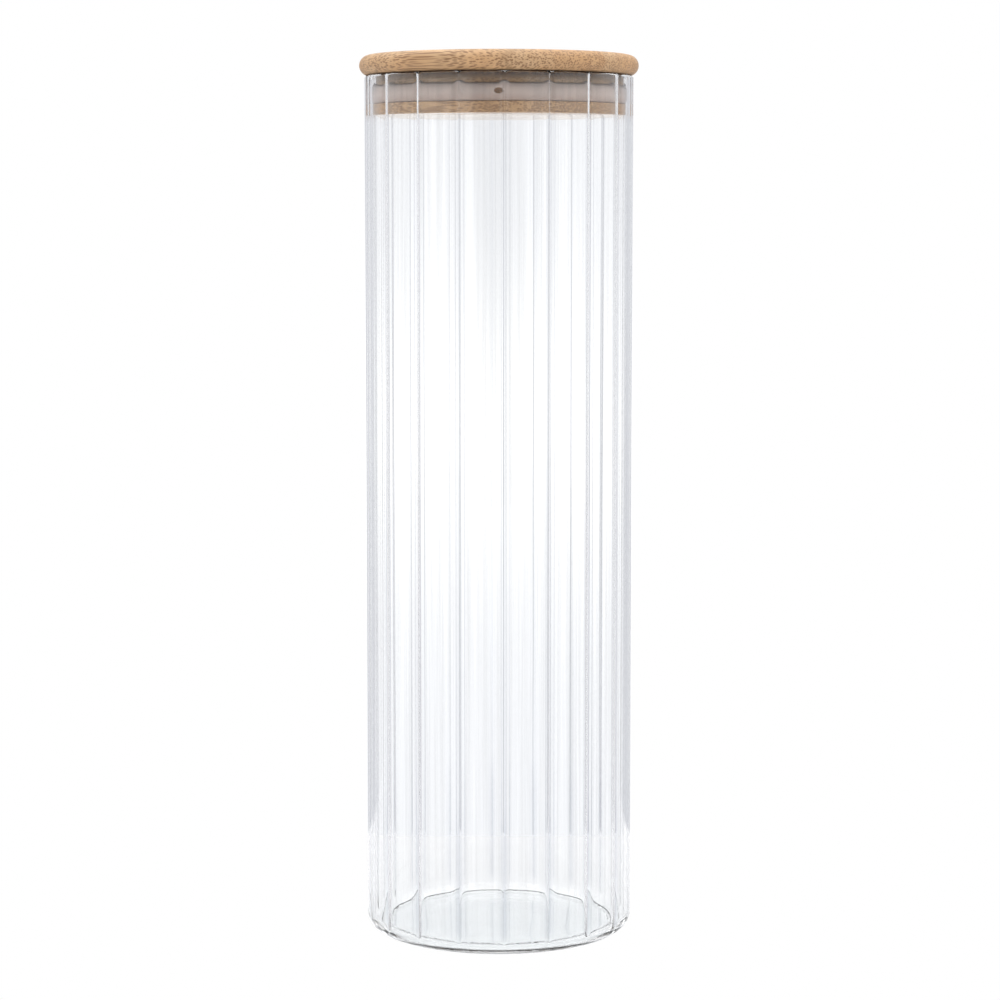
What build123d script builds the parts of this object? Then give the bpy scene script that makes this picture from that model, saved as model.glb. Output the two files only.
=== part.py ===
"""Tall storage jar: a glass tube with ribs inside, a turned bamboo lid and a silicone sealing ring.

Units are millimetres, +Z is up and the origin is the centre of the base, on the surface it stands on.
The front of the jar is its -Y side, where the small hole of the sealing ring is.
"""

import os

from build123d import *

os.makedirs("parts", exist_ok=True)

# ---------------------------------------------------------------- driving dimensions: the glass
jar_height = 321.0
jar_radius = 50.0
wall = 2.0
floor_thickness = 2.8
heel_radius = 6.5
rim_rounding = 0.85
mouth_flare = 0.2

rib_count = 18
rib_height = 0.7
rib_width = 3.0
rib_root_blend = 0.8
rib_run_out = 2.5
rib_offset_angle = 2.0

foot_ring_inner_radius = 37.0
push_up = 1.2
push_up_run = 20.0
push_up_blend = 60.0

# ---------------------------------------------------------------- driving dimensions: the lid
cap_overhang = 1.8
cap_thickness = 7.5
plug_depth = 14.8
land_height = 4.1
land_chamfer = 0.5
neck_inset = 1.4
strip_count = 5
grain_angle = -31.0

# ---------------------------------------------------------------- driving dimensions: the ring
seal_height = 6.4
seal_thickness = 3.0
seal_crown = 0.5
seal_edge_rounding = 0.6
vent_radius = 1.7

# ---------------------------------------------------------------- clearances
lid_seat_gap = 0.1
seal_glass_clearance = 0.1
seal_groove_clearance = 0.05
land_glass_clearance = 0.5

# ---------------------------------------------------------------- worked out: the glass
bore_radius = jar_radius - wall
mouth_radius = bore_radius + mouth_flare
rib_tip_radius = bore_radius - rib_height
inner_heel_radius = heel_radius - wall
rib_arc_radius = (rib_width**2 / 4 + rib_height**2) / (2 * rib_height)
rib_arc_centre = rib_tip_radius + rib_arc_radius
front_angle = -90.0
cavity_overrun = 5.0

# ---------------------------------------------------------------- worked out: the lid and the ring
cap_radius = jar_radius + cap_overhang
cap_underside = jar_height + lid_seat_gap
cap_top = cap_underside + cap_thickness
plug_bottom = cap_underside - plug_depth
land_radius = rib_tip_radius - land_glass_clearance
neck_radius = land_radius - neck_inset
seal_radius = rib_tip_radius - seal_glass_clearance
seal_bore = seal_radius - seal_thickness
groove_radius = seal_bore - seal_groove_clearance
groove_bottom = plug_bottom + land_height
groove_height = seal_height + 2 * seal_groove_clearance
seal_bottom = groove_bottom + seal_groove_clearance
cap_strip_width = 2 * cap_radius / strip_count
plug_strip_width = 2 * land_radius / strip_count


# ---------------------------------------------------------------- the glass
def vessel_outline(radius, level, corner, top):
    """Half section of a round vessel: a raised centre, a flat ring, a rounded corner and a wall."""
    with BuildSketch(Plane.XZ) as half:
        with BuildLine():
            Polyline(
                (0, level + push_up),
                (foot_ring_inner_radius - push_up_run, level + push_up),
                (foot_ring_inner_radius, level),
                (radius, level),
                (radius, top),
                (0, top),
                close=True,
            )
        make_face()
        corners = half.vertices().sort_by(Axis.X)
        fillet(corners[2:4], push_up_blend)
        foot = half.vertices().sort_by(Axis.X)[-2:].sort_by(Axis.Y)[0]
        fillet(foot, corner)
    return half.sketch


with BuildPart() as cavity:
    with BuildSketch(Plane.XY.offset(floor_thickness)) as bore_section:
        Circle(bore_radius)
        with PolarLocations(rib_arc_centre, rib_count, start_angle=front_angle + rib_offset_angle):
            Circle(rib_arc_radius, mode=Mode.SUBTRACT)
        fillet(bore_section.vertices(), rib_root_blend)
    extrude(amount=jar_height - floor_thickness + cavity_overrun)
    with BuildSketch(Plane.XZ):
        add(vessel_outline(bore_radius, floor_thickness, inner_heel_radius, jar_height + cavity_overrun))
    revolve(axis=Axis.Z, mode=Mode.INTERSECT)
    # the ribs run out to nothing below the rim, which opens a little wider than the bore
    with BuildSketch(Plane.XZ):
        with BuildLine():
            Polyline(
                (mouth_radius + rim_rounding, jar_height),
                (mouth_radius + rim_rounding, jar_height + cavity_overrun),
                (0, jar_height + cavity_overrun),
                (0, jar_height - rib_run_out),
                (rib_tip_radius, jar_height - rib_run_out),
                (mouth_radius, jar_height - rim_rounding),
            )
            RadiusArc(
                (mouth_radius, jar_height - rim_rounding),
                (mouth_radius + rim_rounding, jar_height),
                rim_rounding,
            )
        make_face()
    revolve(axis=Axis.Z)

with BuildPart() as glass_jar:
    with BuildSketch(Plane.XZ) as blank:
        add(vessel_outline(jar_radius, 0, heel_radius, jar_height))
        fillet(blank.vertices().sort_by(Axis.X)[-2:].sort_by(Axis.Y)[-1], rim_rounding)
    revolve(axis=Axis.Z)
    add(cavity.part, mode=Mode.SUBTRACT)
glass_jar.part.label = "glass_jar"
export_step(glass_jar.part, "parts/glass_jar.step")

# ---------------------------------------------------------------- the silicone ring
with BuildPart() as silicone_seal:
    with BuildSketch(Plane.XZ) as band:
        with BuildLine():
            Polyline(
                (seal_radius - seal_crown, seal_bottom),
                (seal_bore, seal_bottom),
                (seal_bore, seal_bottom + seal_height),
                (seal_radius - seal_crown, seal_bottom + seal_height),
            )
            ThreePointArc(
                (seal_radius - seal_crown, seal_bottom + seal_height),
                (seal_radius, seal_bottom + seal_height / 2),
                (seal_radius - seal_crown, seal_bottom),
            )
        make_face()
        fillet(band.vertices().sort_by(Axis.X)[-2:], seal_edge_rounding)
    revolve(axis=Axis.Z)
    # the vent is a round hole through the band, at the front
    with BuildSketch(Plane.XZ):
        with Locations((0, seal_bottom + seal_height / 2)):
            Circle(vent_radius)
    extrude(amount=seal_radius, mode=Mode.SUBTRACT)
silicone_seal.part.label = "silicone_seal"
export_step(silicone_seal.part, "parts/silicone_seal.step")

# ---------------------------------------------------------------- the bamboo lid
with BuildPart() as cap_board:
    with BuildSketch(Plane.XZ):
        with BuildLine():
            Polyline(
                (cap_radius - cap_thickness / 2, cap_underside),
                (0, cap_underside),
                (0, cap_top),
                (cap_radius - cap_thickness / 2, cap_top),
            )
            ThreePointArc(
                (cap_radius - cap_thickness / 2, cap_top),
                (cap_radius, cap_underside + cap_thickness / 2),
                (cap_radius - cap_thickness / 2, cap_underside),
            )
        make_face()
    revolve(axis=Axis.Z)

with BuildPart() as plug_board:
    with BuildSketch(Plane.XZ) as turned:
        with BuildLine():
            Polyline(
                (0, plug_bottom),
                (land_radius, plug_bottom),
                (land_radius, groove_bottom),
                (groove_radius, groove_bottom),
                (groove_radius, groove_bottom + groove_height),
                (neck_radius, groove_bottom + groove_height),
                (neck_radius, cap_underside),
                (0, cap_underside),
                close=True,
            )
        make_face()
        chamfer(turned.vertices().sort_by(Axis.X)[-2:], land_chamfer)
    revolve(axis=Axis.Z)


def cut_strips(board, name, strip_width, z_low, z_high):
    """Saw a round board into parallel strips that lie along the grain, and write each one."""
    for number in range(1, strip_count + 1):
        across = (number - (strip_count + 1) / 2) * strip_width
        middle = Location((0, 0, (z_low + z_high) / 2), (0, 0, grain_angle)) * Location((0, across, 0))
        with BuildPart() as strip:
            add(board.part)
            with Locations(middle):
                Box(3 * cap_radius, strip_width, z_high - z_low, mode=Mode.INTERSECT)
        strip.part.label = f"{name}_{number}"
        export_step(strip.part, f"parts/{name}_{number}.step")


cut_strips(cap_board, "cap_strip", cap_strip_width, cap_underside, cap_top)
cut_strips(plug_board, "plug_strip", plug_strip_width, plug_bottom, cap_underside)
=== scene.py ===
"""Tall ribbed glass storage jar with a bamboo lid and a silicone sealing ring."""
import math

import bpy
import numpy as np
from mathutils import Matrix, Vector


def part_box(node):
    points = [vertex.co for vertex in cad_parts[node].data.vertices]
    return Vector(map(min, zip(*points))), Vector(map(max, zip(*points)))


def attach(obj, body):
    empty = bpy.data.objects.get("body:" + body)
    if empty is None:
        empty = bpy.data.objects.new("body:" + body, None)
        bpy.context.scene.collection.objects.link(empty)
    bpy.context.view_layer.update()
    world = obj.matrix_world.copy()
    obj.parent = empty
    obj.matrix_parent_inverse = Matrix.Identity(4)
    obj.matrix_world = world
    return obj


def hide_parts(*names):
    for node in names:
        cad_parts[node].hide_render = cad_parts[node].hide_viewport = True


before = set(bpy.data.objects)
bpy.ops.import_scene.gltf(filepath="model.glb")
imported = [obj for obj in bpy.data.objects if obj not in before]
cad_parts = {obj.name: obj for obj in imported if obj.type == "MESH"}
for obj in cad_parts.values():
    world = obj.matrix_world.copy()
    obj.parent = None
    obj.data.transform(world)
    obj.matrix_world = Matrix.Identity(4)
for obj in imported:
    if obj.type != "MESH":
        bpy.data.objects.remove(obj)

bl_info = {
    "name": "Ribbed Storage Jar",
    "version": (1, 0, 0),
    "blender": (4, 5, 0),
    "location": "View3D > Sidebar > Storage jar",
    "description": "Builds a tall ribbed glass jar, its bamboo lid and its silicone ring",
    "category": "Object",
}

MM = 0.001
# light that is caught in the glass wall turns many times before it leaves
BOUNCES = 40
CAP_STRIPS = sorted(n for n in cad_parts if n.startswith("cap_strip_"))
PLUG_STRIPS = sorted(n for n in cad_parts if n.startswith("plug_strip_"))


# ---------------------------------------------------------------- sizes read from the frame
def points_of(node):
    """The corners of a node's mesh as an array of (x, y, z) rows, in metres."""
    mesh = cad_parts[node].data
    flat = np.zeros(len(mesh.vertices) * 3)
    mesh.vertices.foreach_get("co", flat)
    return flat.reshape(-1, 3)


def reach(nodes, low=-1.0, high=1.0):
    """How far these nodes reach from the jar's axis between two heights."""
    rows = np.concatenate([points_of(n) for n in nodes])
    rows = rows[(rows[:, 2] >= low) & (rows[:, 2] <= high)]
    return float(np.hypot(rows[:, 0], rows[:, 1]).max())


_, JAR_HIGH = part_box("glass_jar")
SEAL_LOW, SEAL_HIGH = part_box("silicone_seal")
CAP_LOW, CAP_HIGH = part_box(CAP_STRIPS[0])
PLUG_LOW, PLUG_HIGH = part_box(PLUG_STRIPS[0])
JAR_RADIUS = JAR_HIGH.x
SEAL_RADIUS = SEAL_HIGH.x
CAP_RADIUS = reach(CAP_STRIPS)
LAND_RADIUS = reach(PLUG_STRIPS, high=SEAL_LOW.z)
NECK_RADIUS = reach(PLUG_STRIPS, low=SEAL_HIGH.z + 0.5 * MM)


# ---------------------------------------------------------------- properties
def length(name, description, default):
    """A length property in metres."""
    return bpy.props.FloatProperty(
        name=name, description=description, default=default, min=0.0, unit="LENGTH", precision=5
    )


def tint(name, description, default):
    """A colour property."""
    return bpy.props.FloatVectorProperty(
        name=name, description=description, default=default, subtype="COLOR", min=0.0, max=1.0
    )


class GlassSizes(bpy.types.PropertyGroup):
    """The jar's wall, ribs and base."""

    wall: length("Wall", "Thickness of the glass between two ribs", 2.0 * MM)
    floor: length("Floor", "Thickness of the glass floor", 2.8 * MM)
    heel: length("Heel radius", "Outer rounding where the wall meets the base", 6.5 * MM)
    rim_rounding: length("Rim rounding", "Radius of the fire-polished rim's edges", 0.85 * MM)
    rim_drop: length("Rim drop", "Height of the rim's rounding, which is taller than it is wide", 1.0 * MM)
    mouth_flare: length("Mouth flare", "How much wider the mouth is than the bore", 0.2 * MM)
    rib_height: length("Rib height", "How far a rib stands into the bore", 0.85 * MM)
    rib_width: length("Rib width", "Width of a rib at its root", 3.0 * MM)
    rib_crest: length("Rib crest", "Radius that eases the crest of a rib", 0.04 * MM)
    rib_run_out: length("Rib run-out", "Length over which the ribs round off into the rim", 2.5 * MM)
    foot_ring: length("Foot ring", "Inner radius of the flat ring that the jar stands on", 38.0 * MM)
    push_up: length("Push-up", "How far the middle of the base is raised", 1.2 * MM)
    push_up_run: length("Push-up run", "Width of the slope up from the foot ring", 24.0 * MM)
    wave: length("Wave", "Depth of the slow waves that drawing leaves in the tube", 0.02 * MM)
    rib_count: bpy.props.IntProperty(name="Ribs", description="Number of ribs", default=18, min=3)
    rib_turn: bpy.props.FloatProperty(
        name="Rib turn",
        description="Angle of the front rib from the jar's front",
        default=math.radians(2.4),
        subtype="ANGLE",
    )
    colour: tint("Glass colour", "Tint of the clear glass", (0.988, 0.992, 0.992))
    # painted shade: the ribs' grey stands in for the dark lines that their bending of light shows
    rib_painted_shade: tint("Rib tint", "Tint of the ribs where they are greyest", (0.62, 0.645, 0.70))


class RingSizes(bpy.types.PropertyGroup):
    """The silicone ring."""

    thickness: length("Thickness", "Radial thickness of the ring", 3.0 * MM)
    crown: length("Crown", "How much the band bulges at mid-height", 0.5 * MM)
    swell: length("Swell", "How far the band swells out between the ribs", 0.35 * MM)
    lip_wave: length("Lip wave", "How much the ribs push the ring's top edge up", 0.9 * MM)
    vent_radius: length("Vent radius", "Radius of the small hole in the front", 1.7 * MM)
    vent_depth: length("Vent depth", "Depth of the small hole", 1.3 * MM)
    dish_depth: length("Dish depth", "Depth of the shallow dish round the small hole", 0.45 * MM)
    edge: length("Edge rounding", "Rounding of the band's two edges", 0.7 * MM)
    colour: tint("Silicone colour", "Colour of the silicone", (0.49, 0.39, 0.345))
    # the wood seen through the vent, darkened as painted shade in the pit
    vent_wood_and_shade: tint("Vent colour", "Colour seen in the small hole", (0.33, 0.19, 0.10))


class LidSizes(bpy.types.PropertyGroup):
    """The bamboo strips of the lid."""

    groove_radius: length("Groove radius", "Radius of the wood inside the ring", 44.15 * MM)
    land_height: length("Land height", "Height of the plug below the ring", 4.1 * MM)
    land_chamfer: length("Land chamfer", "Bevel on the plug's lower edge", 0.5 * MM)
    arris: length("Arris", "Tiny rounding where two strips meet", 0.04 * MM)
    grain_angle: bpy.props.FloatProperty(
        name="Grain angle",
        description="Direction of the grain seen from above",
        default=math.radians(-31.0),
        subtype="ANGLE",
    )
    light_bamboo: tint("Light bamboo", "Colour of the pith between the fibres", (0.63, 0.425, 0.245))
    dark_bamboo: tint("Dark bamboo", "Colour of the fibre bundles", (0.20, 0.10, 0.045))
    # painted shade for the corner under the cap, not the wood's own colour
    neck_painted_shade: tint("Neck bamboo", "Colour of the neck in the corner under the cap", (0.045, 0.025, 0.018))


class StageSizes(bpy.types.PropertyGroup):
    """The table, the backdrop's light and the camera."""

    camera_distance: length("Camera distance", "From the jar's axis to the camera", 1.070)
    camera_height: length("Camera height", "Of the camera above the table", 0.2736)
    camera_side: length("Camera side", "How far the camera stands to the right of the jar's axis", 0.4 * MM)
    camera_pitch: bpy.props.FloatProperty(
        name="Camera pitch",
        description="How far the camera looks down",
        default=math.radians(5.9),
        subtype="ANGLE",
    )
    lens: bpy.props.FloatProperty(
        name="Lens", description="Focal length in millimetres", default=102.8, min=1.0
    )
    table_edge: length("Table edge", "Distance from the jar's axis to the table's rear edge", 0.154)
    table_span: length("Table span", "How far the table reaches to the sides and the front", 1.6)
    table_colour: tint("Table colour", "Colour of the table top", (0.62, 0.62, 0.63))


PROPERTY_SETS = {
    "jar_glass": GlassSizes,
    "jar_ring": RingSizes,
    "jar_lid": LidSizes,
    "jar_stage": StageSizes,
}


# ---------------------------------------------------------------- numpy surfaces
def smoothstep(low, high, value):
    """0 below low, 1 above high and 3t^2 - 2t^3 between, where t is the share of the way."""
    t = np.clip((np.asarray(value, float) - low) / (high - low), 0.0, 1.0)
    return t * t * (3.0 - 2.0 * t)


def arc_rows(centre_r, centre_z, radius, start, end, count):
    """Rows (r, z) of an arc about a centre, from one angle to another, in degrees from +r."""
    angle = np.radians(np.linspace(start, end, count))
    return np.stack([centre_r + radius * np.cos(angle), centre_z + radius * np.sin(angle)], 1)


def line_rows(r0, z0, r1, z1, count):
    """Rows (r, z) along a straight line, both ends included."""
    t = np.linspace(0.0, 1.0, count)[:, None]
    return np.array([[r0, z0]]) * (1.0 - t) + np.array([[r1, z1]]) * t


def wrapped_faces(rows, columns):
    """Quads of a grid whose columns close on themselves, as an array of corner numbers."""
    r = np.arange(rows - 1)[:, None] * columns
    c = np.arange(columns)[None, :]
    right = (c + 1) % columns
    quads = np.stack([r + c, r + right, r + columns + right, r + columns + c], -1)
    return quads.reshape(-1, 4)


def shell(name, grid, start_pole=None, end_pole=None):
    """A mesh object from a grid of points, rows by wrapped columns, closed by a point at each end.

    The grid is an array (rows, columns, 3). A pole is the point that its end's fan of triangles
    meets at; without poles the last row joins the first, as on a ring.
    """
    rows, columns = grid.shape[:2]
    points = grid.reshape(-1, 3)
    column = np.arange(columns)
    after = (column + 1) % columns
    if start_pole is None:
        body = wrapped_faces(rows, columns)
        last = (rows - 1) * columns
        seam = np.stack([last + column, last + after, after, column], -1)
        faces = np.concatenate([body, seam]).tolist()
    else:
        points = np.concatenate([points, [start_pole, end_pole]])
        first_pole = rows * columns
        last = (rows - 1) * columns
        fan_in = np.stack([np.full(columns, first_pole), after, column], -1)
        fan_out = np.stack([last + column, last + after, np.full(columns, first_pole + 1)], -1)
        faces = fan_in.tolist() + wrapped_faces(rows, columns).tolist() + fan_out.tolist()
    mesh = bpy.data.meshes.new(name)
    mesh.from_pydata(points.tolist(), [], faces)
    mesh.validate()
    mesh.polygons.foreach_set("use_smooth", np.ones(len(mesh.polygons), bool))
    mesh.update()
    if signed_volume(mesh) < 0:
        mesh.flip_normals()
    piece = bpy.data.objects.new(name, mesh)
    bpy.context.scene.collection.objects.link(piece)
    return piece


def signed_volume(mesh):
    """Sum of the tetrahedra from the origin to each triangle: negative if the faces point inwards."""
    mesh.calc_loop_triangles()
    corners = np.zeros(len(mesh.loop_triangles) * 3, np.int32)
    mesh.loop_triangles.foreach_get("vertices", corners)
    flat = np.zeros(len(mesh.vertices) * 3)
    mesh.vertices.foreach_get("co", flat)
    a, b, c = np.moveaxis(flat.reshape(-1, 3)[corners.reshape(-1, 3)], 1, 0)
    return float(np.einsum("ij,ij->i", a, np.cross(b, c)).sum() / 6.0)


def add_number(piece, name, values):
    """Stores one number per vertex on a piece, for its material to read."""
    layer = piece.data.attributes.new(name, "FLOAT", "POINT")
    layer.data.foreach_set("value", np.asarray(values, np.float32))


# ---------------------------------------------------------------- shader maths
class Wire:
    """A socket's value with arithmetic: each operator adds one Math node."""

    def __init__(self, shader, socket):
        self.shader = shader
        self.socket = socket

    def maths(self, operation, *others):
        """A Math node with this value first."""
        return self.shader.maths(operation, self, *others)

    def __add__(self, other):
        return self.maths("ADD", other)

    __radd__ = __add__

    def __sub__(self, other):
        return self.maths("SUBTRACT", other)

    def __rsub__(self, other):
        return self.shader.maths("SUBTRACT", other, self)

    def __mul__(self, other):
        return self.maths("MULTIPLY", other)

    __rmul__ = __mul__

    def __truediv__(self, other):
        return self.maths("DIVIDE", other)

    def __pow__(self, other):
        return self.maths("POWER", other)

    def __abs__(self):
        return self.maths("ABSOLUTE")

    def larger(self, other):
        """The larger of two values."""
        return self.maths("MAXIMUM", other)

    def fract(self):
        """The part after the decimal point."""
        return self.maths("FRACT")

    def bell(self, width):
        """exp(-(value / width)^2), a soft bump round zero."""
        scaled = self / width
        return (scaled * scaled * -1.0).maths("EXPONENT")

    def step(self, low, high):
        """0 below low, 1 above high, smooth between; low may be the larger of the two."""
        settings = {"interpolation_type": "SMOOTHSTEP"}
        if low < high:
            return self.shader.node("ShaderNodeMapRange", settings, {0: self, 1: low, 2: high})
        return 1.0 - self.shader.node("ShaderNodeMapRange", settings, {0: self, 1: high, 2: low})


class Shader:
    """The node tree of a material or of the world."""

    def __init__(self, owner):
        owner.use_nodes = True
        self.tree = owner.node_tree
        self.tree.nodes.clear()

    def node(self, kind, settings=None, inputs=None, output=0):
        """Adds a node: its settings first, then a value or a link for each named or numbered input."""
        made = self.tree.nodes.new(kind)
        for key, value in (settings or {}).items():
            setattr(made, key, value)
        for key, value in (inputs or {}).items():
            if isinstance(value, Wire):
                self.tree.links.new(value.socket, made.inputs[key])
            else:
                made.inputs[key].default_value = value
        return Wire(self, made.outputs[output]) if made.outputs else None

    def maths(self, operation, *values):
        """A Math node on these values."""
        return self.node("ShaderNodeMath", {"operation": operation}, dict(enumerate(values)))

    def place(self, kind="Object"):
        """The point in the object's own frame, or in the world the direction as Generated."""
        return self.node("ShaderNodeTexCoord", output=kind)

    def attribute(self, name):
        """The number that add_number stored at a piece's vertices."""
        return self.node("ShaderNodeAttribute", {"attribute_name": name}, output="Fac")

    def ray(self, kind):
        """1 on rays of one kind and 0 on all others."""
        return self.node("ShaderNodeLightPath", output=kind)

    def mix(self, factor, first, second):
        """A colour between two colours."""
        inputs = {0: factor, 6: opaque(first), 7: opaque(second)}
        return self.node("ShaderNodeMix", {"data_type": "RGBA"}, inputs, output=2)

    def blend(self, factor, first, second):
        """A surface between two surfaces."""
        return self.node("ShaderNodeMixShader", None, {0: factor, 1: first, 2: second})

    def noise(self, place, scale, detail=2.0, roughness=0.5):
        """Smooth noise from 0 to 1 with so many waves a metre."""
        inputs = {"Vector": place, "Scale": scale, "Detail": detail, "Roughness": roughness}
        return self.node("ShaderNodeTexNoise", None, inputs)

    def split(self, place):
        """The three numbers of a vector."""
        outputs = self.node("ShaderNodeSeparateXYZ", None, {0: place}).socket.node.outputs
        return [Wire(self, socket) for socket in outputs]

    def join(self, x, y, z):
        """A vector from three numbers."""
        return self.node("ShaderNodeCombineXYZ", None, {0: x, 1: y, 2: z})

    def relief(self, strength, depth, height):
        """The normal over a relief whose height goes from 0 to 1 over a depth in metres."""
        return self.node("ShaderNodeBump", None, {"Strength": strength, "Distance": depth, "Height": height})

    def surface(self, inputs):
        """A Principled surface."""
        return self.node("ShaderNodeBsdfPrincipled", None, inputs)

    def finish(self, surface):
        """Links the surface to the material's output."""
        self.node("ShaderNodeOutputMaterial", None, {0: surface})


def opaque(colour):
    """A colour with alpha 1, or a link unchanged."""
    return colour if isinstance(colour, Wire) else (*tuple(colour)[:3], 1.0)


def darker(colour, share):
    """A colour times a number."""
    return tuple(share * part for part in colour)


def new_material(name):
    """An empty node material and its shader tree."""
    material = bpy.data.materials.new(name)
    return material, Shader(material)


def clear_glass(sizes):
    """Clear borosilicate glass with the faint draw lines of a tube.

    The ribs are painted greyer than the wall, most of all near the thick heel: painted shade for the dark
    lines that the ribs' bending of light shows. Shadow rays and diffuse rays pass straight through, so
    the lid and the table are lit through the glass.
    """
    material, shader = new_material("clear_glass")
    x, y, z = shader.split(shader.place())
    drawn = shader.noise(shader.join(x, y, z * 0.04), 260.0, detail=1.0)
    fine = shader.noise(shader.join(x, y, z * 0.01), 540.0, detail=4.0)

    in_wall = z.step(3.0 * MM, 10.0 * MM)
    streak = fine.step(0.46, 0.58) * in_wall
    streaked = shader.mix(streak, sizes.colour, darker(sizes.colour, 0.925))
    # painted shade on the ribs, strongest near the heel and left off in front of the ring, where the ribs
    # show light
    below_ring = (z - SEAL_LOW.z).step(0.0, -6.0 * MM)
    near_heel = z.step(60.0 * MM, 40.0 * MM)
    on_rib = shader.attribute("rib") * in_wall * below_ring * (0.40 + 0.60 * near_heel)
    glass = shader.surface(
        {
            "Base Color": shader.mix(on_rib, streaked, sizes.rib_painted_shade),
            "Roughness": 0.0,
            "IOR": 1.473,
            "Transmission Weight": 1.0,
            "Normal": shader.relief(0.25, 0.03 * MM, drawn),
        }
    )

    clear = shader.node("ShaderNodeBsdfTransparent", None, {0: (0.97, 0.98, 0.98, 1.0)})
    # the thick rounded rim turns most light away from the gap under the cap
    shade = shader.node("ShaderNodeBsdfTransparent", None, {0: (0.06, 0.06, 0.06, 1.0)})
    at_rim = (z - JAR_HIGH.z).step(-3.6 * MM, -1.2 * MM)
    straight = shader.blend(at_rim, clear, shade)
    for_shadows = shader.blend(shader.ray("Is Shadow Ray"), glass, straight)
    shader.finish(shader.blend(shader.ray("Is Diffuse Ray"), for_shadows, straight))
    return material


def silicone(sizes):
    """Matte, slightly translucent silicone rubber with a faint mottle and moulding lines."""
    material, shader = new_material("silicone")
    place = shader.place()
    x, y, z = shader.split(place)
    mottle = shader.noise(place, 90.0, detail=3.0)
    grain = shader.noise(place, 5200.0, detail=2.0)
    lines = shader.noise(shader.join(x * 0.05, y * 0.05, z), 2600.0, detail=1.0)

    base = shader.mix(mottle.step(0.3, 0.7), darker(sizes.colour, 0.86), sizes.colour)
    # painted shade: the lower edge is darkened and warmed towards the wood, for the shadow in the gap above
    # the land and the wood's warm light thrown back on it
    red, green, blue = sizes.colour
    low_edge_shade = (z - SEAL_LOW.z).step(3.4 * MM, 0.4 * MM)
    base = shader.mix(low_edge_shade * 0.6, base, (red * 0.66, green * 0.56, blue * 0.50))
    # the bottom of the vent shows the wood's warm tone, darkened as painted shade inside the pit
    base = shader.mix(shader.attribute("vent").step(0.25, 0.8), base, sizes.vent_wood_and_shade)
    surface = shader.surface(
        {
            "Base Color": base,
            "Roughness": 0.46 + 0.12 * grain,
            "IOR": 1.41,
            "Normal": shader.relief(0.25, 0.06 * MM, grain * 0.6 + lines * 0.4),
            "Subsurface Weight": 0.25,
            "Subsurface Radius": (4.0 * MM, 3.0 * MM, 2.5 * MM),
            "Subsurface Scale": 0.5,
        }
    )
    shader.finish(surface)
    return material


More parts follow.
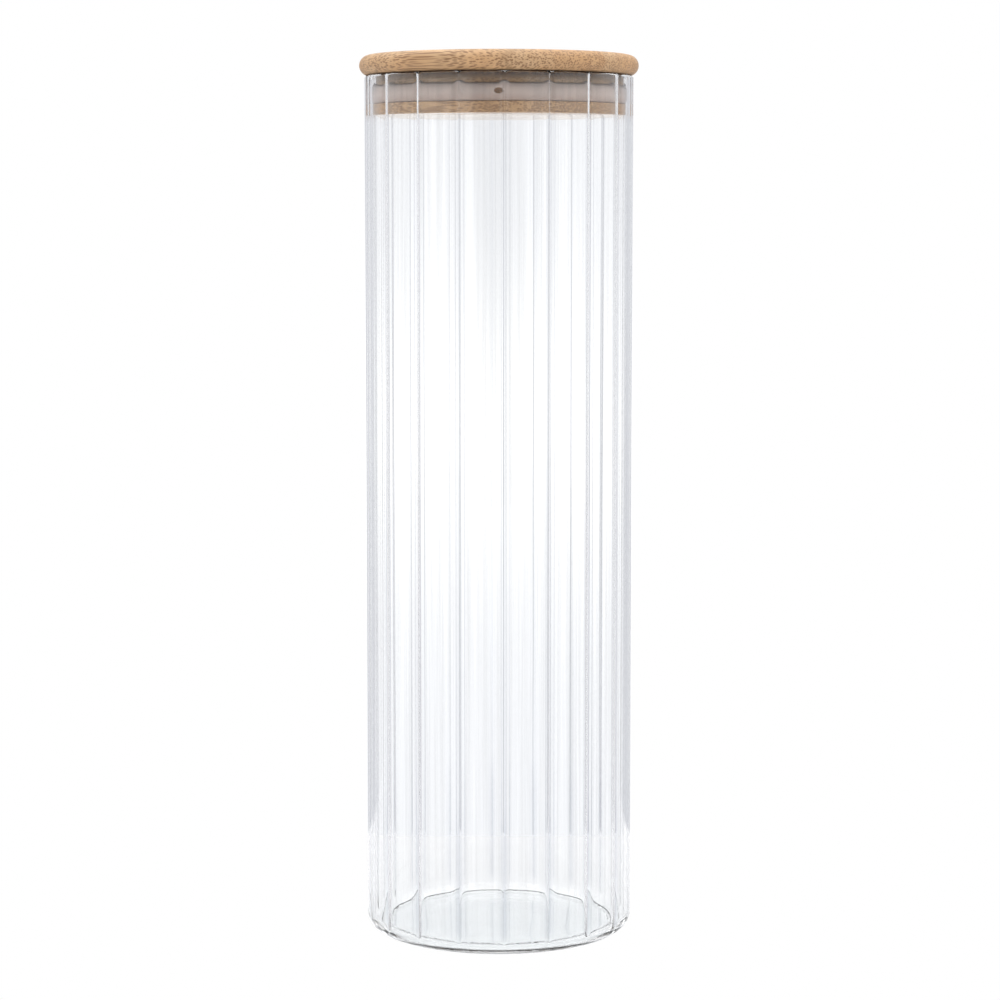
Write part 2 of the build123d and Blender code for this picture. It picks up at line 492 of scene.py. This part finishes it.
def bamboo(sizes):
    """Sanded bamboo: fibre bundles along the grain that show as streaks, or as specks on cut ends.

    The pattern is solid. The point is turned so that its first number runs along the grain, and is
    squeezed that way, so that the cells of a Voronoi pattern become long bundles.
    """
    material, shader = new_material("bamboo")
    place = shader.place()
    x, y, z = shader.split(place)
    to_grain = {"Vector": place, "Rotation": (0.0, 0.0, -sizes.grain_angle)}
    along, across, up = shader.split(shader.node("ShaderNodeMapping", None, to_grain))
    strip = shader.attribute("strip")
    # each strip comes from another place in the culm
    culm = strip * 0.37
    along = along + culm
    sway = shader.noise(shader.join(along, strip, 0.0), 34.0, detail=2.0)
    across = across + (sway - 0.5) * 1.6 * MM
    lift = shader.noise(shader.join(along, 5.0, strip), 26.0, detail=1.0)
    up = up + (lift - 0.5) * 1.2 * MM

    cells = {"Vector": shader.join(along * 0.035, across, up), "Scale": 1600.0, "Randomness": 0.8}
    from_bundle = shader.node("ShaderNodeTexVoronoi", {"feature": "F1"}, cells)
    density = shader.noise(shader.join(along * 0.08, across, up), 260.0, detail=1.0)
    fibre = from_bundle.step(0.60, 0.28) * (0.5 + 0.5 * density.step(0.20, 0.42))
    pith = shader.noise(shader.join(along * 0.06, across, up), 3600.0, detail=2.0, roughness=0.6)
    streak = shader.noise(shader.join(along * 0.03, across, up), 420.0, detail=3.0, roughness=0.65)
    cloud = shader.noise(shader.join(along * 0.5, across, up), 55.0, detail=2.0)

    red, green, blue = sizes.light_bamboo
    warm = (red * 0.98, green * 0.86, blue * 0.74)
    body = shader.mix(cloud.step(0.35, 0.7), sizes.light_bamboo, warm)
    body = shader.mix(0.55 * streak.step(0.35, 0.75), body, darker(warm, 0.70))
    body = shader.mix(0.35 * pith.step(0.4, 0.75), body, darker(warm, 0.60))

    # the plug's edge below the ring is painted darker, as painted shade for the land behind the glass and
    # under the ring, and its fibre bundles stand out there as specks
    inwards = ((x * x + y * y) ** 0.5 - LAND_RADIUS).step(-0.7 * MM, -0.3 * MM)
    land_specks_and_shade = inwards * (z - SEAL_LOW.z).step(0.5 * MM, 0.0)
    body = shader.mix(land_specks_and_shade * 0.5, body, darker(warm, 0.62))
    # painted shade: the neck darkens up to the corner under the cap, for the shadow there
    neck = (z - SEAL_HIGH.z).step(0.6 * MM, 3.0 * MM) * (z - CAP_LOW.z).step(0.2 * MM, 0.0)
    body = shader.mix(neck * 0.95, body, sizes.neck_painted_shade)
    bundles = (0.82 * fibre).larger(land_specks_and_shade * from_bundle.step(0.75, 0.25))
    body = shader.mix(bundles, body, sizes.dark_bamboo)
    # the strips differ a little in tone
    body = shader.mix((strip * 7.31).fract() * 0.22, body, darker(warm, 0.78))

    # a knuckle of the culm crosses each strip once, as a wavering darker line
    waver = shader.noise(shader.join(0.0, across, up), 130.0, detail=2.0)
    at_knuckle = (strip * 3.77).fract() * 50.0 * MM - 10.0 * MM
    knuckle = (along - culm - at_knuckle + (waver - 0.5) * 6.0 * MM).bell(1.1 * MM)
    body = shader.mix(0.40 * knuckle, body, darker(warm, 0.5))

    # the plug's underside is planed smooth, and has a sheen at a low angle
    planed = (z - PLUG_LOW.z).step(0.4 * MM, 0.1 * MM)
    surface = shader.surface(
        {
            "Base Color": body,
            "Roughness": (0.50 + 0.14 * pith - 0.10 * fibre) * (1.0 - 0.80 * planed),
            "Normal": shader.relief(0.35, 0.08 * MM, fibre * -0.5 + pith * 0.3 + streak * 0.4),
            "Specular IOR Level": 0.35,
        }
    )
    shader.finish(surface)
    return material


# ---------------------------------------------------------------- the glass
def rib_profile(angle, sizes):
    """Height of the ribs over the bore at an angle.

    A rib is a ridge with an eased crest on a broad soft foot. With u = sqrt(s^2 + e^2) - e, where s
    is the distance from the crest and e eases it, the height is h * (0.62 * exp(-(u / a)^1.2) + 0.38
    * exp(-u / b)), where a and b are 0.34 and 0.75 of the rib's width.
    """
    sector = 2.0 * math.pi / sizes.rib_count
    offset = (angle + sector / 2.0) % sector - sector / 2.0
    distance = offset * (JAR_RADIUS - sizes.wall)
    eased = np.sqrt(distance**2 + sizes.rib_crest**2) - sizes.rib_crest
    ridge = np.exp(-((eased / (0.34 * sizes.rib_width)) ** 1.2))
    foot = np.exp(-eased / (0.75 * sizes.rib_width))
    return sizes.rib_height * (0.62 * ridge + 0.38 * foot)


def crowded_angles(sizes):
    """Angles of the grid's columns, from the front rib round: crowded on the ribs, sparse between."""
    each = 32
    crowd = 0.25
    t = (np.arange(each) + 0.5) / each * 2.0 - 1.0
    sector = 2.0 * math.pi / sizes.rib_count
    local = sector / 2.0 * (crowd * t + (1.0 - crowd) * t**3)
    return (np.arange(sizes.rib_count)[:, None] * sector + local[None, :]).reshape(-1)


def base_rise(radius, sizes):
    """Height of the base's surface over the foot ring: 0 on the ring and the push-up in the middle."""
    return sizes.push_up * (1.0 - smoothstep(sizes.foot_ring - sizes.push_up_run, sizes.foot_ring, radius))


def glass_rows(sizes):
    """Rows (r, z) of the jar's half section, from the middle of the floor inside, up the bore, over
    the rim, down the outside and in to the middle of the base, and each row's share of the ribs. The
    share is sqrt(1 - t^2) where t goes from 0 to 1 over the run-out, a quarter of an ellipse."""
    top = JAR_HIGH.z
    radius = JAR_RADIUS
    bore = radius - sizes.wall
    mouth = bore + sizes.mouth_flare
    corner = sizes.heel - sizes.wall
    run_out = top - sizes.rib_run_out
    lip = top - sizes.rim_drop

    # shares of the floor's radius, close together on the slope of the push-up
    spread = np.concatenate([np.linspace(0.10, 0.6, 4), np.linspace(0.64, 0.80, 14), [0.86, 0.92]])
    inner = spread * bore
    floor = np.stack([inner, sizes.floor + base_rise(inner, sizes)], 1)
    heel_in = arc_rows(bore - corner, sizes.floor + corner, corner, -90.0, 0.0, 12)
    wall_in = line_rows(bore, sizes.floor + corner, bore, run_out, 30)[1:]
    flare = line_rows(bore, run_out, mouth, lip, 8)[1:-1]
    # the rim's two edges are quarters of an ellipse, drawn as quarters of a circle and stretched
    rounding = sizes.rim_rounding
    stretch = np.array([1.0, sizes.rim_drop / rounding])
    lift = np.array([0.0, lip])
    lip_in = arc_rows(mouth + rounding, 0.0, rounding, 180.0, 90.0, 12) * stretch + lift
    lip_out = arc_rows(radius - rounding, 0.0, rounding, 90.0, 0.0, 12) * stretch + lift
    wall_out = line_rows(radius, lip, radius, sizes.heel, 26)[1:-1]
    heel_out = arc_rows(radius - sizes.heel, sizes.heel, sizes.heel, 0.0, -90.0, 16)
    outer = spread[::-1] * (radius - sizes.heel) / spread[-1] * 0.98
    base = np.stack([outer, base_rise(outer, sizes)], 1)

    inside = np.concatenate([floor, heel_in, wall_in, flare, lip_in])
    outside = np.concatenate([lip_out, wall_out, heel_out, base])
    t = np.clip((inside[:, 1] - run_out) / sizes.rib_run_out, 0.0, 1.0)
    share = np.append(np.sqrt(1.0 - t**2), np.zeros(len(outside)))
    return np.concatenate([inside, outside]), share


def drawn_wave(angle, height, sizes):
    """Slow waves of a drawn tube: a sum of sines round the jar that drift along its height.

    Wave number n is sin(turns * angle + phase) * cos(drift * height + n) / n.
    """
    waves = ((5, 9.0, 0.3), (11, 17.0, 1.9), (23, 6.0, 4.1), (31, 13.0, 2.7))
    total = sum(
        np.sin(turns * angle + phase) * np.cos(drift * height + n) / n
        for n, (turns, drift, phase) in enumerate(waves, 1)
    )
    return sizes.wave * total


def build_glass(sizes):
    """The jar as one closed shell: each row of its section is carried round the axis.

    The bore's rows go no further out than the ribs' face, so the ribs die into the rounded heel. The
    smooth minimum of a and b is (a + b - sqrt((a - b)^2 + e^2)) / 2. Where the ribs' share falls,
    their face draws back past the rim's rounding.
    """
    angle = crowded_angles(sizes)[None, :]
    rows, share = glass_rows(sizes)
    radius, height, share = rows[:, 0:1], rows[:, 1:2], share[:, None]
    ribs = rib_profile(angle, sizes)
    draw_back = 1.5 * sizes.rib_height
    face = JAR_RADIUS - sizes.wall - ribs * share + (1.0 - share) * draw_back
    soft = 0.25 * MM
    limited = 0.5 * (radius + face - np.sqrt((radius - face) ** 2 + soft**2))
    swept = np.where(share > 0.0, limited, radius)
    in_wall = smoothstep(0.0, 60.0 * MM, height) * smoothstep(0.0, 6.0 * MM, JAR_HIGH.z - height)
    swept = swept + in_wall * drawn_wave(angle, height, sizes)
    around = angle + sizes.rib_turn
    x = swept * np.sin(around)
    y = -swept * np.cos(around)
    grid = np.stack([x, y, np.broadcast_to(height, x.shape)], -1)
    floor_middle = (0.0, 0.0, sizes.floor + sizes.push_up)
    base_middle = (0.0, 0.0, sizes.push_up)
    piece = shell("ribbed_glass", grid, floor_middle, base_middle)
    on_rib = ribs / sizes.rib_height * (share > 0.0)
    add_number(piece, "rib", np.append(on_rib.reshape(-1), [0.0, 0.0]))
    piece.data.materials.append(clear_glass(sizes))
    return piece


# ---------------------------------------------------------------- the silicone ring
def ring_angles(sizes):
    """Angles of the ring's columns: every half degree, and closer together across the vent."""
    near = 3.0 * sizes.vent_radius / SEAL_RADIUS
    coarse = np.linspace(-math.pi, math.pi, 721)[:-1]
    coarse = coarse[np.abs(coarse) > near * 1.02]
    return np.sort(np.concatenate([coarse, np.linspace(-near, near, 96)]))


def build_ring(sizes, glass):
    """The ring as a closed loop section carried round.

    At t from -1 to 1 across its height the band lies at the ring's radius less crown * t^2. It swells
    between the ribs, and its top edge is pushed up at each rib in the shape exp(-(s / (w / 2))^2),
    where s is the distance from the rib and w the rib's width. The vent is a pit in a shallow dish.
    The top steps down outside the lid's neck.
    """
    low, high = SEAL_LOW.z, SEAL_HIGH.z
    middle = (low + high) / 2.0
    half = (high - low) / 2.0
    sector = 2.0 * math.pi / glass.rib_count
    angle = ring_angles(sizes)[None, :]
    from_rib = ((angle - glass.rib_turn + sector / 2.0) % sector - sector / 2.0) * SEAL_RADIUS
    rib = np.exp(-((from_rib / (0.5 * glass.rib_width)) ** 2))

    t = np.linspace(-1.0, 1.0, 44)[:, None]
    corner = np.clip((np.abs(t) * half - (half - sizes.edge)) / sizes.edge, 0.0, 1.0)
    rounded = sizes.edge * (1.0 - np.sqrt(1.0 - corner**2 * 0.98))
    pressed = 0.12 * MM
    swell = (sizes.swell * (1.0 - rib) - pressed * rib) * (1.0 - t**4)
    band_r = SEAL_RADIUS - sizes.crown * t**2 - rounded + swell
    band_z = middle + t * half + sizes.lip_wave * rib * smoothstep(0.2, 1.0, t)

    vent = sizes.vent_radius
    sideways = angle * SEAL_RADIUS
    in_front = np.abs(angle) < 1.0
    dish = 1.0 - smoothstep(0.2 * vent, 1.3 * vent, np.hypot(sideways, band_z - middle))
    # the pit is wider than it is high, and sits above the dish's middle
    from_pit = np.hypot(sideways, (band_z - middle - 0.22 * vent) * 1.5)
    pit = (1.0 - smoothstep(0.7 * vent, 1.1 * vent, from_pit)) * in_front
    band_r = band_r - sizes.dish_depth * dish * in_front - sizes.vent_depth * pit

    # the top steps down outside the neck, then the back goes down inside the groove
    every = np.ones(angle.shape)
    back_z = np.append(high, np.linspace(high, low, 8))[:, None] * every
    step_r, inner_r = NECK_RADIUS + 0.15 * MM, SEAL_RADIUS - sizes.thickness
    back_r = np.append(step_r, np.full(8, inner_r))[:, None] * every
    ring_r = np.concatenate([band_r, back_r])
    ring_z = np.concatenate([band_z, back_z])
    grid = np.stack([ring_r * np.sin(angle), -ring_r * np.cos(angle), ring_z], -1)
    piece = shell("silicone_ring", grid)
    add_number(piece, "vent", np.concatenate([pit, np.zeros(back_z.shape)]).reshape(-1))
    piece.data.set_sharp_from_angle(angle=math.radians(50.0))
    piece.data.materials.append(silicone(sizes))
    return piece


# ---------------------------------------------------------------- the bamboo strips
def strip_loop(radius, near, far, count):
    """Points (across, along) of a circle cut to the strip between two lines, as one closed loop.

    From the cut at near the loop follows the rim's far side to the cut at far, and comes back along
    the other side. Where the far cut misses the circle the rim runs on round, so the loop is a D.
    radius, near and far are columns with one row for each level.
    """
    start = np.arccos(np.clip(near / radius, -1.0, 1.0))
    end = np.arccos(np.clip(far / radius, -1.0, 1.0))
    t = np.linspace(0.0, 1.0, count)[None, :]
    angle = start + (end - start) * t
    across = radius * np.cos(angle)
    along = radius * np.sin(angle)
    return np.concatenate([across, across[:, ::-1]], 1), np.concatenate([along, -along[:, ::-1]], 1)


def build_strip(name, section, near, far, sizes, number, material):
    """One strip of a round board, between two cuts at near and far from the board's middle.

    Each level of the board's section gives a loop, and the loops are stacked. The cut edges are eased
    by the arris where they meet the board's flat faces.
    """
    radius, height = section[:, 0:1], section[:, 1:2]
    low, high = section[0, 1], section[-1, 1]
    ease = sizes.arris * (1.0 - smoothstep(0.0, sizes.arris * 2.0, np.minimum(height - low, high - height)))
    outer_cut = near < 0.0 < far
    last = abs(far) >= radius.max() or abs(near) >= radius.max()
    flip = abs(near) > abs(far) and not outer_cut
    inner_side, outer_side = (-far, -near) if flip else (near, far)
    inner_line = np.broadcast_to(inner_side, radius.shape) + ease
    outer_line = radius if last else np.broadcast_to(outer_side, radius.shape) - ease
    count = 48 if last else 34
    across, along = strip_loop(radius, inner_line, outer_line, count)
    if last:
        # the loop of an end strip meets itself on the rim, so one of the two equal points goes
        keep = np.ones(across.shape[1], bool)
        keep[across.shape[1] // 2] = False
        across, along = across[:, keep], along[:, keep]
    across = -across if flip else across
    turn = sizes.grain_angle
    x = along * math.cos(turn) - across * math.sin(turn)
    y = along * math.sin(turn) + across * math.cos(turn)
    grid = np.stack([x, y, np.broadcast_to(height, x.shape)], -1)
    poles = [grid[row].mean(0) for row in (0, -1)]
    piece = shell(name, grid, poles[0], poles[1])
    piece.data.set_sharp_from_angle(angle=math.radians(32.0))
    add_number(piece, "strip", np.full(len(piece.data.vertices), number))
    piece.data.materials.append(material)
    return piece


def cap_section():
    """Rows (r, z) of the cap's edge from its underside to its top: a full half round."""
    half = (CAP_HIGH.z - CAP_LOW.z) / 2.0
    rows = arc_rows(CAP_RADIUS - half, CAP_LOW.z + half, half, -90.0, 90.0, 27)
    # one more row at each end keeps the flat faces flat up to the half round
    ends = rows[[0, -1]] - [0.2 * MM, 0.0]
    return np.concatenate([ends[:1], rows, ends[1:]])


def plug_section(sizes):
    """Rows (r, z) of the plug from its underside to the cap: bevelled land, ring groove and neck."""
    bottom, top = PLUG_LOW.z, PLUG_HIGH.z
    groove_low = bottom + sizes.land_height
    groove_high = SEAL_HIGH.z + (SEAL_LOW.z - groove_low)
    bevel = sizes.land_chamfer
    soft = 0.15 * MM
    return np.array(
        [
            (LAND_RADIUS - bevel - soft, bottom),
            (LAND_RADIUS - bevel, bottom + soft * 0.3),
            (LAND_RADIUS - soft * 0.3, bottom + bevel),
            (LAND_RADIUS, bottom + bevel + soft),
            (LAND_RADIUS, groove_low - soft),
            (LAND_RADIUS - soft, groove_low),
            (sizes.groove_radius, groove_low),
            (sizes.groove_radius, groove_high),
            (NECK_RADIUS - soft, groove_high),
            (NECK_RADIUS, groove_high + soft),
            (NECK_RADIUS, top - soft),
            (NECK_RADIUS, top),
        ]
    )


def build_board(names, section, radius, sizes, first_number, material):
    """All strips of one round board, side by side across the grain."""
    width = 2.0 * radius / len(names)
    for order, name in enumerate(names):
        near = -radius + order * width
        piece = build_strip(
            "bamboo_" + name, section, near, near + width, sizes, first_number + order, material
        )
        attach(piece, "lid")
        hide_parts(name)


# ---------------------------------------------------------------- the stage
def flat_sheet(name, low_x, high_x, low_y, high_y, z):
    """A flat rectangle that faces up, as a grid of two parameters."""
    count = 9
    u, v = np.meshgrid(np.linspace(low_x, high_x, count), np.linspace(low_y, high_y, count))
    points = np.stack([u, v, np.full(u.shape, z)], -1).reshape(-1, 3)
    corner = np.arange(count - 1)[:, None] * count + np.arange(count - 1)[None, :]
    faces = np.stack([corner, corner + 1, corner + count + 1, corner + count], -1)
    mesh = bpy.data.meshes.new(name)
    mesh.from_pydata(points.tolist(), [], faces.reshape(-1, 4).tolist())
    sheet = bpy.data.objects.new(name, mesh)
    bpy.context.scene.collection.objects.link(sheet)
    return sheet


def table_top(colour):
    """Pale satin laminate, burnt out to white where the camera sees it directly."""
    material, shader = new_material("pale_table")
    laminate = shader.surface({"Base Color": opaque(colour), "Roughness": 0.7})
    burnt_out = shader.node("ShaderNodeEmission", None, {0: (1.0, 1.0, 1.0, 1.0), 1: 1.0})
    shader.finish(shader.blend(shader.ray("Is Camera Ray"), laminate, burnt_out))
    return material


def grey(level):
    """A neutral colour."""
    return (level, level, level)


def studio_light(scene):
    """Soft light from all round, as a colour for each direction.

    The bearing is the angle from the direction behind the jar in turns of half a circle, 0 behind and
    1 in front, and z is the sine of the angle above the horizon. The backdrop is white to the camera.
    """
    world = bpy.data.worlds.new("studio")
    scene.world = world
    shader = Shader(world)
    x, y, z = shader.split(shader.place("Generated"))
    bearing = abs(x.maths("ARCTAN2", y)) / math.pi

    # behind the jar is a pale field, brightest a little below the horizon
    field = shader.mix(z.step(-0.10, -0.05), (1.01, 1.02, 1.05), (0.97, 0.98, 1.01))
    field = shader.mix((z + 0.078).bell(0.055), field, grey(1.24))
    # beside it a greyer gap brightens towards the sides
    side = shader.mix(bearing.step(0.16, 0.42), (0.67, 0.68, 0.72), (1.05, 1.05, 1.06))
    # a low band of light goes round the front, with a dark gap where the camera stands; above and
    # below it the room is dimmer
    band = (z + 0.04).bell(0.16) * (1.0 - 0.8 * bearing.step(0.80, 0.93))
    room = shader.mix(bearing.step(0.3, 0.65), (0.85, 0.86, 0.88), (0.30, 0.30, 0.31))
    front = shader.mix(band, room, grey(1.6))
    side = shader.mix(bearing.step(0.38, 0.55), side, front)
    # a greyer panel square to each side, so that the glass still shows when it is seen from there
    side = shader.mix((bearing - 0.5).bell(0.05) * 0.9, side, (0.93, 0.94, 0.965))
    low = shader.mix(bearing.step(0.085, 0.066), side, field)
    around = shader.mix(z.step(0.45, 0.75), low, grey(2.3))
    colour = shader.mix(shader.ray("Is Camera Ray"), around, grey(1.0))
    glow = shader.node("ShaderNodeBackground", None, {0: colour, 1: 1.0})
    shader.node("ShaderNodeOutputWorld", None, {0: glow})


def add_camera(scene, sizes):
    """The camera in front of the jar, looking slightly down."""
    data = bpy.data.cameras.new("camera")
    data.lens = sizes.lens
    data.sensor_width = 36.0
    data.clip_start = 0.01
    data.clip_end = 50.0
    camera = bpy.data.objects.new("camera", data)
    camera.location = (sizes.camera_side, -sizes.camera_distance, sizes.camera_height)
    camera.rotation_euler = (math.pi / 2.0 - sizes.camera_pitch, 0.0, 0.0)
    scene.collection.objects.link(camera)
    scene.camera = camera


# ---------------------------------------------------------------- operators
class JAR_OT_glass(bpy.types.Operator):
    """Builds the ribbed glass jar"""

    bl_idname = "jar.glass"
    bl_label = "Build glass"

    def execute(self, context):
        piece = build_glass(context.scene.jar_glass)
        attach(piece, "jar")
        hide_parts("glass_jar")
        return {"FINISHED"}


class JAR_OT_ring(bpy.types.Operator):
    """Builds the silicone sealing ring"""

    bl_idname = "jar.ring"
    bl_label = "Build sealing ring"

    def execute(self, context):
        piece = build_ring(context.scene.jar_ring, context.scene.jar_glass)
        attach(piece, "seal")
        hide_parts("silicone_seal")
        return {"FINISHED"}


class JAR_OT_lid(bpy.types.Operator):
    """Builds the bamboo strips of the cap and the plug"""

    bl_idname = "jar.lid"
    bl_label = "Build bamboo lid"

    def execute(self, context):
        sizes = context.scene.jar_lid
        material = bamboo(sizes)
        build_board(CAP_STRIPS, cap_section(), CAP_RADIUS, sizes, 1, material)
        build_board(PLUG_STRIPS, plug_section(sizes), LAND_RADIUS, sizes, 1 + len(CAP_STRIPS), material)
        return {"FINISHED"}


class JAR_OT_stage(bpy.types.Operator):
    """Builds the table, the studio light and the camera"""

    bl_idname = "jar.stage"
    bl_label = "Build stage"

    def execute(self, context):
        sizes = context.scene.jar_stage
        span = sizes.table_span
        table = flat_sheet("table", -span, span, -span, sizes.table_edge, -0.05 * MM)
        table.data.materials.append(table_top(sizes.table_colour))
        studio_light(context.scene)
        add_camera(context.scene, sizes)
        context.scene.view_settings.view_transform = "Standard"
        for kind in ("max_bounces", "glossy_bounces", "transmission_bounces", "transparent_max_bounces"):
            setattr(context.scene.cycles, kind, BOUNCES)
        return {"FINISHED"}


class JAR_PT_panel(bpy.types.Panel):
    """Lists the jar's operators in the sidebar"""

    bl_idname = "JAR_PT_panel"
    bl_label = "Storage jar"
    bl_space_type = "VIEW_3D"
    bl_region_type = "UI"
    bl_category = "Storage jar"

    def draw(self, context):
        for operator in OPERATORS:
            self.layout.operator(operator.bl_idname)


OPERATORS = (JAR_OT_glass, JAR_OT_ring, JAR_OT_lid, JAR_OT_stage)
CLASSES = (*PROPERTY_SETS.values(), *OPERATORS, JAR_PT_panel)


def register():
    """Adds the classes and the scene's settings to Blender."""
    for each in CLASSES:
        bpy.utils.register_class(each)
    for name, group in PROPERTY_SETS.items():
        setattr(bpy.types.Scene, name, bpy.props.PointerProperty(type=group))


def unregister():
    """Takes them out again."""
    for name in PROPERTY_SETS:
        delattr(bpy.types.Scene, name)
    for each in reversed(CLASSES):
        bpy.utils.unregister_class(each)


def main():
    """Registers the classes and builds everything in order."""
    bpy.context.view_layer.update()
    register()
    bpy.ops.jar.glass()
    bpy.ops.jar.ring()
    bpy.ops.jar.lid()
    bpy.ops.jar.stage()


if __name__ == "__main__":
    main()
